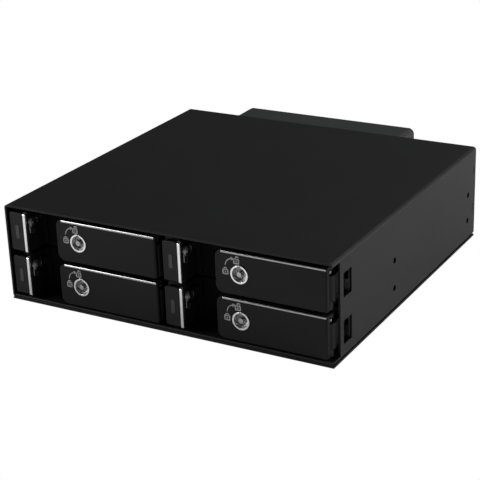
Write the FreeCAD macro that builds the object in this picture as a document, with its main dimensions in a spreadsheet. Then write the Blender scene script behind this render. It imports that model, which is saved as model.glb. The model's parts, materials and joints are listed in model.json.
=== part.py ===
import FreeCAD, Part
import math
import os
import Sketcher

document = FreeCAD.newDocument("DriveCage")
sheet = document.addObject("Spreadsheet::Sheet", "Sizes")


class Size:
    """A number together with the expression on the sheet that gives it."""

    def __init__(self, value, text):
        self.value = value
        self.text = text

    def _join(self, other, sign, value, swap=False):
        other = as_size(other)
        first, second = (other, self) if swap else (self, other)
        return Size(value(first.value, second.value), f"({first.text} {sign} {second.text})")

    def __add__(self, other):
        return self._join(other, "+", lambda a, b: a + b)

    def __radd__(self, other):
        return self._join(other, "+", lambda a, b: a + b, swap=True)

    def __sub__(self, other):
        return self._join(other, "-", lambda a, b: a - b)

    def __rsub__(self, other):
        return self._join(other, "-", lambda a, b: a - b, swap=True)

    def __mul__(self, other):
        return self._join(other, "*", lambda a, b: a * b)

    def __rmul__(self, other):
        return self._join(other, "*", lambda a, b: a * b, swap=True)

    def __truediv__(self, other):
        return self._join(other, "/", lambda a, b: a / b)

    def __neg__(self):
        return Size(-self.value, f"(0 - {self.text})")


def as_size(item):
    return item if isinstance(item, Size) else Size(item, repr(item))


def size(alias, value, meaning):
    """Write one driving dimension into the sheet and return it."""
    size.row += 1
    sheet.set(f"A{size.row}", meaning)
    sheet.set(f"B{size.row}", repr(value))
    sheet.setAlias(f"B{size.row}", alias)
    return Size(value, f"Sizes.{alias}")


size.row = 0

# Case
case_width = size("case_width", 146.0, "Outside width of the case, a standard wide bay")
case_height = size("case_height", 41.3, "Outside height of the case, a half-height bay")
sheet_thick = size("sheet_thick", 0.8, "Sheet of the case")
bend_radius = size("bend_radius", 1.4, "Outer radius of a bend in the case")
flange_width = size("flange_width", 9.0, "Flanges turned in under the case")
wall_setback = size("wall_setback", 6.0, "Right wall behind the front edge")
hem_height = size("hem_height", 2.2, "Folded front edge of the bottom plate")
hem_depth = size("hem_depth", 1.2, "Thickness of that fold")
hem_groove = size("hem_groove", 0.35, "Depth of the line between the fold and the sheet")
divider_thick = size("divider_thick", 0.6, "Sheet of the centre divider")
divider_setback = size("divider_setback", 6.8, "Divider behind the front edge")
divider_short = size("divider_short", 2.6, "Divider ends before the board")
divider_flange = size("divider_flange", 8.0, "Flanges of the divider")
sheet_screw_radius = size("sheet_screw_radius", 1.25, "Screws that close the case")
screw_head_radius = size("screw_head_radius", 2.0, "Countersunk heads of those screws")
screw_row_inset = size("screw_row_inset", 5.8, "Closing screws from the outer wall")
screw_first = size("screw_first", 22.0, "First closing screw behind the front")
screw_last = size("screw_last", 24.4, "Last closing screw before the rear")

# Mounting holes of a wide bay, in both side walls
mount_radius = size("mount_radius", 1.3, "Tapped mounting holes")
mount_rear = size("mount_rear", 8.45, "Rear pair of mounting holes before the rear")
mount_pitch = size("mount_pitch", 79.25, "Pairs of mounting holes apart")
mount_low = size("mount_low", 10.0, "Lower row of mounting holes")
mount_rise = size("mount_rise", 11.8, "Rows of mounting holes apart")

# Clearances
slide_gap = size("slide_gap", 0.3, "Tray to what guides it, each side")
turn_gap = size("turn_gap", 0.3, "Beside a turning piece")
pin_gap = size("pin_gap", 0.1, "Round a pin that turns in its hole")
seat_gap = size("seat_gap", 0.1, "Round a piece that is let into another")
tray_rise = size("tray_rise", 0.6, "Lower trays above the folded edge")
tray_gap = size("tray_gap", 1.7, "Air above a tray front")

# Trays
bezel_depth = size("bezel_depth", 16.0, "Depth of the moulded tray front")
bezel_wall = size("bezel_wall", 1.2, "Top and bottom walls of that front")
bezel_back = size("bezel_back", 2.0, "Back wall of that front")
bezel_side = size("bezel_side", 0.8, "Left wall of that front")
recess_depth = size("recess_depth", 8.5, "Finger room before the bezel's walls")
recess_right = size("recess_right", 26.0, "Right end of the open finger room")
stake_radius = size("stake_radius", 1.2, "Stakes between the bezel and the cradle")
carrier_length = size("carrier_length", 102.0, "Sheet cradle behind the tray front")
carrier_thick = size("carrier_thick", 0.6, "Sheet of the cradle")
carrier_wall = size("carrier_wall", 11.5, "Height of the cradle's walls")
carrier_lip = size("carrier_lip", 7.5, "Height of the cradle's front flange")
carrier_hole_radius = size("carrier_hole_radius", 1.6, "Drive screw holes in the cradle")
carrier_vent = size("carrier_vent", 2.4, "Width of an air slot in the cradle")
drive_length = size("drive_length", 100.45, "Length of that drive")
drive_row = size("drive_row", 61.72, "Drive screws apart across the tray")
drive_rear_hole = size("drive_rear_hole", 14.0, "Rear drive screws from the drive's end")
drive_hole_pitch = size("drive_hole_pitch", 76.6, "Drive screws apart along the tray")
rail_width = size("rail_width", 3.0, "Ledge that carries a tray")
rail_thick = size("rail_thick", 0.6, "Leg of an upper rail")
rail_ledge = size("rail_ledge", 0.8, "Ledge thickness")
rail_front = size("rail_front", 18.0, "Front end of the rails")
rail_spare = size("rail_spare", 2.0, "Rails reach past a tray's end")
rail_clear = size("rail_clear", 0.5, "Leg of an upper rail above the lower tray")

# Tray front, measured from the tray's left edge
strip_left = size("strip_left", 7.2, "Left edge of the bright strip")
strip_width = size("strip_width", 1.4, "Width of the bright strip")
strip_rear = size("strip_rear", 1.1, "Rear face of the bright strip")
strip_drop = size("strip_drop", 0.4, "Bright strip below the tray's top")
lever_left = size("lever_left", 23.7, "Left edge of the lever")
lever_inset = size("lever_inset", 1.4, "Right edge of the lever from the tray's right edge")
lever_front = size("lever_front", 0.5, "Lever's face behind the case's front edge")
lever_thick = size("lever_thick", 1.5, "Wall of the lever")
lever_corner = size("lever_corner", 3.0, "Left corners of the lever")
lever_round = size("lever_round", 0.9, "Rounding of the lever's right edge")
rim_inset = size("rim_inset", 9.3, "Right end of the lever's rims from the tray's right edge")
hinge_inset = size("hinge_inset", 3.2, "Lever's pin from the tray's right edge")
hinge_depth = size("hinge_depth", 4.4, "Lever's pin behind the front")
hinge_pin_radius = size("hinge_pin_radius", 1.0, "Lever's pin")
knuckle_radius = size("knuckle_radius", 3.0, "Lever's hinge knuckle")
knuckle_low = size("knuckle_low", 3.5, "Underside of the knuckle")
knuckle_drop = size("knuckle_drop", 3.5, "Top of the knuckle below the tray's top")
ear_radius = size("ear_radius", 2.1, "Bezel's hinge ears")
arm_end = size("arm_end", 13.0, "Rear end of the lever's cam arm")
arm_low = size("arm_low", 3.6, "Underside of the cam arm")
arm_thick = size("arm_thick", 1.6, "Cam arm, thickness")
arm_drop = size("arm_drop", 4.8, "Top of the cam arm below the tray's top")
cam_slot_front = size("cam_slot_front", 8.7, "Cam slot in the wall, front edge")
cam_slot_rear = size("cam_slot_rear", 15.6, "Cam slot, rear edge")
cam_slot_low = size("cam_slot_low", 3.1, "Cam slot above the tray's underside")
cam_slot_drop = size("cam_slot_drop", 4.3, "Top of the cam slot below the tray's top")
tongue_left = size("tongue_left", 11.0, "Free end of the lever's tongue")
tongue_below = size("tongue_below", 0.3, "Tongue below the tray's underside")
tongue_above = size("tongue_above", 0.7, "Tongue above the tray's top")
trim_height = size("trim_height", 1.1, "Bright edge on the lever")
trim_depth = size("trim_depth", 0.9, "Depth of that edge in the lever")
trim_start = size("trim_start", 2.5, "Bright edge from the lever's left edge")
trim_stop = size("trim_stop", 0.5, "Bright edge from the lever's right edge")

# Lock
lock_across = size("lock_across", 34.0, "Lock from the tray's left edge")
lock_ring_radius = size("lock_ring_radius", 3.65, "Bright ring of the lock")
lock_bore_radius = size("lock_bore_radius", 2.95, "Bore of the lock barrel")
lock_body_radius = size("lock_body_radius", 3.35, "Lock barrel behind the ring")
lock_post_radius = size("lock_post_radius", 1.1, "Centre post of the lock")
lock_ring_front = size("lock_ring_front", 0.1, "Face of the ring behind the case's front")
lock_length = size("lock_length", 9.0, "Rear end of the barrel")
lock_well = size("lock_well", 2.4, "Depth of the key well")
notch_width = size("notch_width", 1.3, "Key notch in the ring")
cam_radius = size("cam_radius", 7.0, "Reach of the lock's cam")
cam_width = size("cam_width", 4.4, "Width of that cam")
cam_thick = size("cam_thick", 1.0, "Sheet of that cam")

# Release latch
button_left = size("button_left", 0.7, "Left edge of the button")
button_right = size("button_right", 7.0, "Right edge of the button")
button_margin = size("button_margin", 0.5, "Button from the tray's top and bottom")
button_thick = size("button_thick", 1.4, "Button plate")
latch_pin_depth = size("latch_pin_depth", 4.3, "Latch pin behind the front")
latch_pin_drop = size("latch_pin_drop", 4.4, "Latch pin below the tray's top")
latch_pin_radius = size("latch_pin_radius", 0.8, "Latch pin")
latch_hub_radius = size("latch_hub_radius", 2.0, "Hub of the latch")
latch_lug_left = size("latch_lug_left", 1.3, "Lug that holds the pin's hidden end")
latch_hook_front = size("latch_hook_front", 8.9, "Front of the latch's hook")
latch_hook_rear = size("latch_hook_rear", 10.9, "Rear of the latch's hook")
latch_hook_right = size("latch_hook_right", 10.1, "Tip of the latch's hook")
latch_hook_half = size("latch_hook_half", 1.1, "Half the height of the hook's arm")
latch_travel_room = size("latch_travel_room", 1.5, "Room for the hook above and below")
lens_width = size("lens_width", 1.7, "Lamp lens, width")
lens_height = size("lens_height", 5.6, "Lamp lens, height")
lens_across = size("lens_across", 4.1, "Middle of the lens from the tray's left edge")
lens_thick = size("lens_thick", 1.2, "Depth of the lens")
coil_radius = size("coil_radius", 2.6, "Outside of the latch spring's coil")
coil_length = size("coil_length", 1.2, "Length of that coil")
boss_height = size("boss_height", 2.3, "Rest for the spring's leg")
boss_right = size("boss_right", 10.5, "Right face of the block beside the tongue")
wire = size("wire", 0.5, "Spring wire")

# Rear end
board_gap = size("board_gap", 6.6, "Board behind the trays")
rear_room = size("rear_room", 15.4, "Board to the rear panel")
board_thick = size("board_thick", 1.6, "Backplane board")
board_inset = size("board_inset", 1.2, "Board's edge inside the walls")
receptacle_depth = size("receptacle_depth", 8.4, "Drive receptacle before the board")
receptacle_width = size("receptacle_width", 43.0, "Drive receptacle, width")
receptacle_height = size("receptacle_height", 5.6, "Drive receptacle, height")
receptacle_up = size("receptacle_up", 4.4, "Middle of a receptacle above the tray's underside")
receptacle_shift = size("receptacle_shift", 4.8, "Receptacle beside the middle of its bay")
port_length = size("port_length", 10.2, "Ports behind the board")
port_inset = size("port_inset", 11.4, "Middle of the port windows inside the case's sides")
port_column = size("port_column", 4.6, "Ports beside the middle of their window")
port_row = size("port_row", 8.0, "Data ports above and below the middle")
data_port_width = size("data_port_width", 6.0, "Data port, width")
data_port_height = size("data_port_height", 14.6, "Data port, height")
power_port_width = size("power_port_width", 6.4, "Power port, width")
power_port_height = size("power_port_height", 24.0, "Power port, height")
window_width = size("window_width", 17.0, "Port windows, width")
window_inset = size("window_inset", 4.15, "Port windows inside the case's top and bottom")
standoff_radius = size("standoff_radius", 2.6, "Board standoffs across corners, half")
standoff_gap = size("standoff_gap", 2.9, "Standoffs beside the port windows")
standoff_inset = size("standoff_inset", 6.25, "Standoffs inside the case's top and bottom")
tab_length = size("tab_length", 1.8, "Tab notches, length")
tab_inset = size("tab_inset", 3.8, "Front of the tab notches before the rear")
tab_low = size("tab_low", 13.4, "Lower tab notch")
tab_drop = size("tab_drop", 11.1, "Upper tab notch below the case's top")
tab_rise = size("tab_rise", 3.0, "Height of a tab notch")

# Fans
fan_inset = size("fan_inset", 0.65, "Fan frames inside the case's top and bottom")
fan_rim = size("fan_rim", 1.0, "Rim of a fan frame at its thinnest")
fan_hole_inset = size("fan_hole_inset", 4.0, "Fan screws inside the frame's edges")
fan_apart = size("fan_apart", 1.2, "Fan frames apart")
fan_room = size("fan_room", 0.95, "Fan frames to the housing's side walls")
fan_front_room = size("fan_front_room", 2.4, "Fan frames behind the rear panel")
blade_gap = size("blade_gap", 1.6, "Rotor blades inside the bore")
housing_shift = size("housing_shift", 4.5, "Fan housing beside the middle of the case")
fan_depth = size("fan_depth", 10.0, "Fan frame, depth")
fan_hole_radius = size("fan_hole_radius", 1.8, "Screw holes of a fan")
fan_screw_radius = size("fan_screw_radius", 1.4, "Fan screws")
fan_head_radius = size("fan_head_radius", 2.5, "Countersunk heads of the fan screws")
housing_wall = size("housing_wall", 1.2, "Walls of the fan housing")
housing_corner = size("housing_corner", 2.6, "Top corners of the fan housing")
housing_drop = size("housing_drop", 0.1, "Fan housing inside the case's top and bottom")
fan_hub_radius = size("fan_hub_radius", 10.4, "Rotor hub")
fan_shaft_radius = size("fan_shaft_radius", 1.0, "Rotor shaft")
fan_blades = 7

# Places worked out from the driving dimensions
tray_end = bezel_depth + carrier_length
board_front = tray_end + board_gap
case_depth = board_front + board_thick + rear_room + sheet_thick
housing_depth = fan_front_room + fan_depth + housing_wall
front = -(case_depth + housing_depth) / 2
half_width = case_width / 2
wall_inside = half_width - sheet_thick
bay_width = wall_inside - divider_thick / 2
tray_width = bay_width - 2 * slide_gap
cover_under = case_height - sheet_thick
panel_front = case_depth - sheet_thick
divider_end = board_front - divider_short
screw_pitch = (case_depth - screw_first - screw_last) / 2
mount_first = case_depth - mount_rear - mount_pitch
rail_length = tray_end + rail_spare - rail_front

tray_bottom = hem_height + tray_rise
tray_pitch = (cover_under - tray_bottom) / 2
tray_height = tray_pitch - tray_gap
upper_tray = tray_bottom + tray_pitch
rail_leg = tray_pitch - slide_gap - carrier_wall - rail_clear
wall_right = strip_left + strip_width + seat_gap
lever_right = tray_width - lever_inset
lever_rim_end = tray_width - rim_inset
hinge_across = tray_width - hinge_inset
knuckle_high = tray_height - knuckle_drop
arm_high = tray_height - arm_drop
cam_slot_high = tray_height - cam_slot_drop
lock_up = tray_height / 2
latch_pin_up = tray_height - latch_pin_drop

port_centre = half_width - port_inset
window_height = case_height - 2 * window_inset
standoff_across = port_centre - window_width / 2 - standoff_gap
standoff_rise = case_height / 2 - standoff_inset
tab_front = case_depth - tab_inset
tab_high = case_height - tab_drop
fan_up = case_height / 2
fan_side = case_height - 2 * fan_inset
fan_bore_radius = fan_side / 2 - fan_rim
fan_hole_pitch = fan_side - 2 * fan_hole_inset
fan_tip_radius = fan_bore_radius - blade_gap
fan_across = (fan_side + fan_apart) / 2
fan_places = (-housing_shift - fan_across, fan_across - housing_shift)
housing_width = 2 * (fan_across + fan_side / 2 + fan_room + housing_wall)
trays = {
    "upper_left": (-wall_inside + slide_gap, upper_tray),
    "lower_left": (-wall_inside + slide_gap, tray_bottom),
    "upper_right": (divider_thick / 2 + slide_gap, upper_tray),
    "lower_right": (divider_thick / 2 + slide_gap, tray_bottom),
}
parts = []


def place(item, across, depth, up):
    """Bind the place of a piece in the cage."""
    for axis, value in zip("xyz", (across, depth, up)):
        item.setExpression(f"Placement.Base.{axis}", as_size(value).text)


def new_body(label, across=0.0, up=0.0, depth=0.0, many=False):
    """Start a piece; its own depths count from the case's front edge."""
    body = document.addObject("PartDesign::Body", label)
    body.Label = label
    body.AllowCompound = many
    place(body, across, front + depth, up)
    parts.append(body)
    return body


# Outlines are loops of (level, upright, radius of the corner)

def rect(left, low, right, high, radius=0.0):
    return [(left, low, radius), (right, low, radius), (right, high, radius), (left, high, radius)]


def polygon(*corners):
    return [corner if len(corner) == 3 else (*corner, 0.0) for corner in corners]


def circle(level, upright, radius):
    return {"centre": (level, upright), "radius": radius}


class Drawing:
    """Lines, arcs and constraints of one sketch, gathered before the sketch takes them."""

    def __init__(self):
        self.items = []
        self.constraints = []
        self.expressions = []

    def draw(self, item):
        self.items.append(item)
        return len(self.items) - 1

    def hold(self, kind, item, point, value):
        """Hold one point from the origin, or a radius, at a size."""
        value = as_size(value)
        self.expressions.append((len(self.constraints), value.text))
        if kind == "Radius":
            self.constraints.append(Sketcher.Constraint(kind, item, value.value))
        else:
            self.constraints.append(Sketcher.Constraint(kind, -1, 1, item, point, value.value))

    def hold_point(self, item, point, place):
        self.hold("DistanceX", item, point, place[0])
        self.hold("DistanceY", item, point, place[1])

    def meet(self, first, first_point, second, second_point):
        self.constraints.append(Sketcher.Constraint("Coincident", first, first_point, second, second_point))

    def fill(self, sketch):
        sketch.addGeometry(self.items, False)
        sketch.addConstraint(self.constraints)
        for number, text in self.expressions:
            sketch.setExpression(f"Constraints[{number}]", text)


def flat(point):
    return FreeCAD.Vector(as_size(point[0]).value, as_size(point[1]).value, 0)


def draw_circle(drawing, loop):
    radius = as_size(loop["radius"])
    item = drawing.draw(Part.Circle(flat(loop["centre"]), FreeCAD.Vector(0, 0, 1), radius.value))
    drawing.hold_point(item, 3, loop["centre"])
    drawing.hold("Radius", item, None, radius)


def sign(value):
    return (value > 1e-9) - (value < -1e-9)


def draw_loop(drawing, loop):
    """Draw a closed outline; rounded corners stand between level and upright edges."""
    corners = [tuple(as_size(item) for item in corner) for corner in loop]
    ends = []
    for index, (level, upright, radius) in enumerate(corners):
        before, after = corners[index - 1], corners[(index + 1) % len(corners)]
        if radius.value:
            come = (sign(level.value - before[0].value), sign(upright.value - before[1].value))
            leave = (sign(after[0].value - level.value), sign(after[1].value - upright.value))
            start = (level - come[0] * radius, upright - come[1] * radius)
            stop = (level + leave[0] * radius, upright + leave[1] * radius)
            ends.append((start, stop, radius, come[0] * leave[1] - come[1] * leave[0]))
        else:
            ends.append(((level, upright), (level, upright), None, 0))
    lines = []
    for index, (_, start, _, _) in enumerate(ends):
        stop = ends[(index + 1) % len(ends)][0]
        lines.append(drawing.draw(Part.LineSegment(flat(start), flat(stop))))
        drawing.hold_point(lines[-1], 1, start)
    for index, (start, stop, radius, left_turn) in enumerate(ends):
        before, line = lines[index - 1], lines[index]
        if radius is None:
            drawing.meet(before, 2, line, 1)
            continue
        drawing.hold_point(before, 2, start)
        first, last = (start, stop) if left_turn > 0 else (stop, start)
        arc = drawing.draw(Part.Arc(flat(first), round_middle(corners[index], start, stop), flat(last)))
        drawing.meet(before, 2, arc, 1 if left_turn > 0 else 2)
        drawing.meet(line, 1, arc, 2 if left_turn > 0 else 1)
        drawing.hold("Radius", arc, None, radius)


def round_middle(corner, start, stop):
    """Middle point of the arc that rounds a square corner."""
    share = 1 - math.sqrt(0.5)
    level = corner[0].value + share * (start[0].value + stop[0].value - 2 * corner[0].value)
    upright = corner[1].value + share * (start[1].value + stop[1].value - 2 * corner[1].value)
    return FreeCAD.Vector(level, upright, 0)


# For each view: the origin plane, and the side of it that the plane's normal points to
VIEWS = {"front": ("XZ_Plane", -1), "side": ("YZ_Plane", 1), "top": ("XY_Plane", 1)}


def sketch_on(body, view, at, loops):
    """Draw outlines on a plane of the body, moved along its normal to the place asked for."""
    role, normal = VIEWS[view]
    sketch = body.newObject("Sketcher::SketchObject", f"{body.Label}_outline")
    origin = [item for item in body.Origin.OriginFeatures if item.Role == role]
    sketch.AttachmentSupport = (origin[0], "")
    sketch.MapMode = "FlatFace"
    sketch.setExpression("AttachmentOffset.Base.z", (as_size(at) * normal).text)
    drawing = Drawing()
    for loop in loops:
        if isinstance(loop, dict):
            draw_circle(drawing, loop)
        else:
            draw_loop(drawing, loop)
    drawing.fill(sketch)
    return sketch


def add(body, view, low, high, *loops):
    """Raise outlines seen from one side between two places along that side's axis."""
    start = low if VIEWS[view][1] > 0 else high
    feature = body.newObject("PartDesign::Pad", f"{body.Label}_pad")
    return raise_feature(body, feature, sketch_on(body, view, start, loops), low, high)


def cut(body, view, low, high, *loops):
    """Sink outlines seen from one side between two places along that side's axis."""
    start = high if VIEWS[view][1] > 0 else low
    feature = body.newObject("PartDesign::Pocket", f"{body.Label}_pocket")
    return raise_feature(body, feature, sketch_on(body, view, start, loops), low, high)


def raise_feature(body, feature, sketch, low, high):
    feature.Profile = sketch
    feature.setExpression("Length", (as_size(high) - low).text)
    return feature


def turn(body, *loops):
    """Revolve outlines of (radius, depth) about the body's axis along its depth."""
    feature = body.newObject("PartDesign::Revolution", f"{body.Label}_turned")
    feature.Profile = sketch_on(body, "top", 0.0, loops)
    axis = [item for item in body.Origin.OriginFeatures if item.Role == "Y_Axis"]
    feature.ReferenceAxis = (axis[0], [""])
    feature.Angle = 360.0
    return feature


def polar(body, feature, count):
    """Repeat a feature round the body's axis along its depth."""
    pattern = body.newObject("PartDesign::PolarPattern", f"{body.Label}_round")
    axis = [item for item in body.Origin.OriginFeatures if item.Role == "Y_Axis"]
    pattern.Originals = [feature]
    pattern.Axis = (axis[0], [""])
    pattern.Angle = 360.0
    pattern.Occurrences = count
    body.Tip = pattern
    return pattern


def fillet(body, radius, chosen):
    """Round the straight edges of the body whose middle point passes a test."""
    document.recompute()
    tip = body.Tip
    names = []
    for number, edge in enumerate(tip.Shape.Edges, start=1):
        middle = edge.valueAt((edge.FirstParameter + edge.LastParameter) / 2)
        if chosen(middle, edge):
            names.append(f"Edge{number}")
    feature = body.newObject("PartDesign::Fillet", f"{body.Label}_fillet")
    feature.Base = (tip, names)
    feature.setExpression("Radius", as_size(radius).text)
    return feature


def near(value, target):
    return abs(value - as_size(target).value) < 0.01


def both_sides(across):
    return (-across, across)


def make_case():
    """Cover and walls in one sheet, the bottom plate, the divider and the rails."""
    shell = new_body("outer_shell")
    inner = bend_radius - sheet_thick
    flange_edge = half_width - flange_width
    add(shell, "front", 0.0, case_depth, polygon(
        (-flange_edge, sheet_thick), (-flange_edge, 2 * sheet_thick),
        (-wall_inside, 2 * sheet_thick, inner), (-wall_inside, cover_under, inner),
        (wall_inside, cover_under, inner), (wall_inside, 2 * sheet_thick, inner),
        (flange_edge, 2 * sheet_thick), (flange_edge, sheet_thick),
        (half_width, sheet_thick, bend_radius), (half_width, case_height, bend_radius),
        (-half_width, case_height, bend_radius), (-half_width, sheet_thick, bend_radius)))
    cut(shell, "front", 0.0, hem_depth + turn_gap,
        rect(-wall_inside, sheet_thick, wall_inside, hem_height + turn_gap))
    cut(shell, "side", wall_inside - bend_radius, half_width,
        rect(0.0, sheet_thick + bend_radius, wall_setback, case_height - bend_radius),
        *[rect(cam_slot_front, up + cam_slot_low, cam_slot_rear, up + cam_slot_high)
          for up in (tray_bottom, upper_tray)])
    cut(shell, "side", -half_width, half_width,
        *[circle(mount_first + step * mount_pitch, mount_low + row * mount_rise, mount_radius)
          for step in (0, 1) for row in (0, 1)],
        *[rect(tab_front, low, tab_front + tab_length, low + tab_rise) for low in (tab_low, tab_high)])
    cut(shell, "top", sheet_thick, 2 * sheet_thick, *closing_screws(sheet_screw_radius + pin_gap))

    plate = new_body("bottom_plate")
    add(plate, "top", 0.0, sheet_thick, rect(-half_width, 0.0, half_width, case_depth))
    edge = wall_inside - seat_gap
    add(plate, "front", 0.0, hem_depth, rect(-edge, sheet_thick, edge, hem_height))
    cut(plate, "top", 0.0, sheet_thick, *closing_screws(sheet_screw_radius + pin_gap))
    cut(plate, "top", 0.0, sheet_thick / 2, *closing_screws(screw_head_radius + pin_gap))
    cut(plate, "side", -half_width, half_width, rect(0.0, sheet_thick, hem_groove, 1.5 * sheet_thick))
    fillet(plate, hem_groove, lambda middle, edge: near(middle.y, 0) and edge.BoundBox.XLength > 10 and
           (near(middle.z, hem_height) or near(middle.z, 0)))

    divider = new_body("centre_divider")
    half = divider_thick / 2
    floor_top = sheet_thick + divider_thick
    ceiling = cover_under - divider_thick
    add(divider, "front", divider_setback, divider_end, polygon(
        (-half, sheet_thick), (divider_flange, sheet_thick), (divider_flange, floor_top),
        (half, floor_top), (half, cover_under), (-divider_flange, cover_under),
        (-divider_flange, ceiling), (-half, ceiling)))
    cut(divider, "side", -half, half,
        *[rect(cam_slot_front, up + cam_slot_low, cam_slot_rear, up + cam_slot_high)
          for up in (tray_bottom, upper_tray)])


def closing_screws(radius):
    """Circles of the screws through the bottom plate into the shell's flanges."""
    across = half_width - screw_row_inset
    return [circle(side, screw_first + step * screw_pitch, radius)
            for side in both_sides(across) for step in range(3)]


def make_rails():
    """Floor strips under the lower trays, angles under the upper ones."""
    rails = new_body("guide_rails", many=True)
    strips, angles = [], []
    low_top = tray_bottom - slide_gap
    top = upper_tray - slide_gap
    bend = bend_radius - sheet_thick
    base = 2 * sheet_thick
    for side in (-1, 1):
        for root, inward, inset in ((side * wall_inside, -side, bend), (side * divider_thick / 2, side, 0.0)):
            foot = root + inward * as_size(inset)
            edge = root + inward * rail_width
            leg = root + inward * rail_thick
            strips.append(polygon((foot, base), (edge, base), (edge, low_top), (foot, low_top)))
            angles.append(polygon((root, top - rail_leg), (leg, top - rail_leg), (leg, top - rail_ledge),
                                  (edge, top - rail_ledge), (edge, top), (root, top)))
    add(rails, "front", rail_front, rail_front + rail_length, *strips)
    add(rails, "front", rail_front, rail_front + rail_length, *angles)
    room = 2.5 * mount_radius
    up = mount_low + mount_rise
    for low, high in ((-wall_inside, -wall_inside + rail_width / 2), (wall_inside - rail_width / 2, wall_inside)):
        cut(rails, "side", low, high, rect(mount_first - room, up - room, mount_first + room, top))


def make_rear():
    """Rear panel, board, its connectors and standoffs."""
    panel = new_body("rear_panel")
    edge = wall_inside - seat_gap
    low = 2 * sheet_thick
    bend = bend_radius - sheet_thick
    add(panel, "front", panel_front, case_depth, rect(-edge, low, edge, cover_under, bend))
    flange_front = tab_front - 2 * tab_length
    flange = rect(flange_front, low + bend, panel_front, cover_under - bend)
    add(panel, "side", -edge, -edge + sheet_thick, flange)
    add(panel, "side", edge - sheet_thick, edge, flange)
    tabs = [rect(tab_front + seat_gap, tab + seat_gap, tab_front + tab_length - seat_gap,
                 tab + tab_rise - seat_gap) for tab in (tab_low, tab_high)]
    add(panel, "side", edge, half_width - seat_gap, *tabs)
    add(panel, "side", -half_width + seat_gap, -edge, *tabs)
    middle = case_height / 2
    cut(panel, "front", panel_front, case_depth,
        *[circle(across, fan_up, fan_bore_radius) for across in fan_places],
        *[rect(across - window_width / 2, middle - window_height / 2,
               across + window_width / 2, middle + window_height / 2) for across in both_sides(port_centre)],
        *fan_screw_circles(fan_screw_radius + pin_gap), *standoff_circles(sheet_screw_radius + pin_gap))

    board = new_body("backplane_board")
    board_rear = board_front + board_thick
    board_edge = wall_inside - board_inset
    add(board, "front", board_front, board_rear,
        rect(-board_edge, low + board_inset, board_edge, cover_under - board_inset))
    window = (board_edge - divider_flange) / 5
    airways = []
    for side in both_sides(bay_width / 2):
        for step in (-1.5, -0.5, 0.5, 1.5):
            centre = side + step * (window + 1.6 * sheet_thick)
            base = tray_bottom + receptacle_up + receptacle_height
            airways.append(rect(centre - window / 2, base, centre + window / 2, base + 0.45 * tray_pitch))
    cut(board, "front", board_front, board_rear, *airways, *standoff_circles(sheet_screw_radius + pin_gap))

    sockets = new_body("drive_receptacles", many=True)
    socket_front = board_front - receptacle_depth
    blocks, wells = [], []
    for across, up in trays.values():
        centre = across + tray_width / 2 + receptacle_shift
        level = up + receptacle_up
        half = receptacle_width / 2
        rise = receptacle_height / 2
        blocks.append(rect(centre - half, level - rise, centre + half, level + rise))
        wall = receptacle_height / 4
        split = centre - receptacle_width / 6
        wells.append(rect(centre - half + wall, level - wall, split - wall / 2, level + wall))
        wells.append(rect(split + wall / 2, level - wall, centre + half - wall, level + wall))
    add(sockets, "front", socket_front, board_front, *blocks)
    cut(sockets, "front", socket_front, board_front - 2 * board_thick, *wells)

    make_ports("data_ports", board_rear, data_port_width, data_port_height, [
        (-port_centre + column, middle + row) for column in both_sides(port_column) for row in both_sides(port_row)])
    make_ports("power_ports", board_rear, power_port_width, power_port_height, [
        (port_centre + column, middle) for column in both_sides(port_column)])

    standoffs = new_body("board_standoffs", many=True)
    add(standoffs, "front", board_rear, panel_front,
        *[hexagon(across, up, standoff_radius) for across, up in standoff_places()])
    cut(standoffs, "front", panel_front - 3 * sheet_thick, panel_front,
        *standoff_circles(sheet_screw_radius + pin_gap))


def make_ports(label, board_rear, width, height, places):
    """Upright plug shells on the rear of the board, each with a contact blade inside."""
    ports = new_body(label, many=True)
    wall = sheet_thick
    port_rear = board_rear + port_length
    add(ports, "front", board_rear, port_rear, *[
        rect(across - width / 2, up - height / 2, across + width / 2, up + height / 2) for across, up in places])
    cut(ports, "front", board_rear + 2 * wall, port_rear, *[
        rect(across - width / 2 + wall, up - height / 2 + wall, across + width / 2 - wall, up + height / 2 - wall)
        for across, up in places])
    add(ports, "front", board_rear + wall, port_rear - wall, *[
        rect(across - wall, up - height / 2 + 3 * wall, across + wall / 2, up + height / 2 - 3 * wall)
        for across, up in places])


def standoff_places():
    return [(across, case_height / 2 + rise) for across in both_sides(standoff_across)
            for rise in both_sides(standoff_rise)]


def standoff_circles(radius):
    return [circle(across, up, radius) for across, up in standoff_places()]


def hexagon(across, up, radius):
    corners = []
    for step in range(6):
        angle = math.radians(60 * step)
        corners.append((across + round(math.cos(angle), 6) * radius, up + round(math.sin(angle), 6) * radius))
    return polygon(*corners)


def fan_screw_circles(radius):
    return [circle(across + row * fan_hole_pitch / 2, fan_up + rise * fan_hole_pitch / 2, radius)
            for across in fan_places for row in (-1, 1) for rise in (-1, 1)]


def make_screws():
    """Closing screws under the case, board screws behind it and the long fan screws."""
    screws = new_body("case_screws", many=True)
    add(screws, "top", 0.0, 3 * sheet_thick, *closing_screws(sheet_screw_radius))
    add(screws, "top", 0.0, sheet_thick / 2, *closing_screws(screw_head_radius))
    add(screws, "front", panel_front - 2 * sheet_thick, case_depth, *standoff_circles(sheet_screw_radius))
    add(screws, "front", case_depth, case_depth + 2 * sheet_thick, *standoff_circles(screw_head_radius))

    rear = case_depth + housing_depth
    long_screws = new_body("fan_screws", many=True)
    add(long_screws, "front", panel_front - sheet_thick, rear, *fan_screw_circles(fan_screw_radius))
    add(long_screws, "front", rear - housing_wall / 2, rear, *fan_screw_circles(fan_head_radius))


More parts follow.
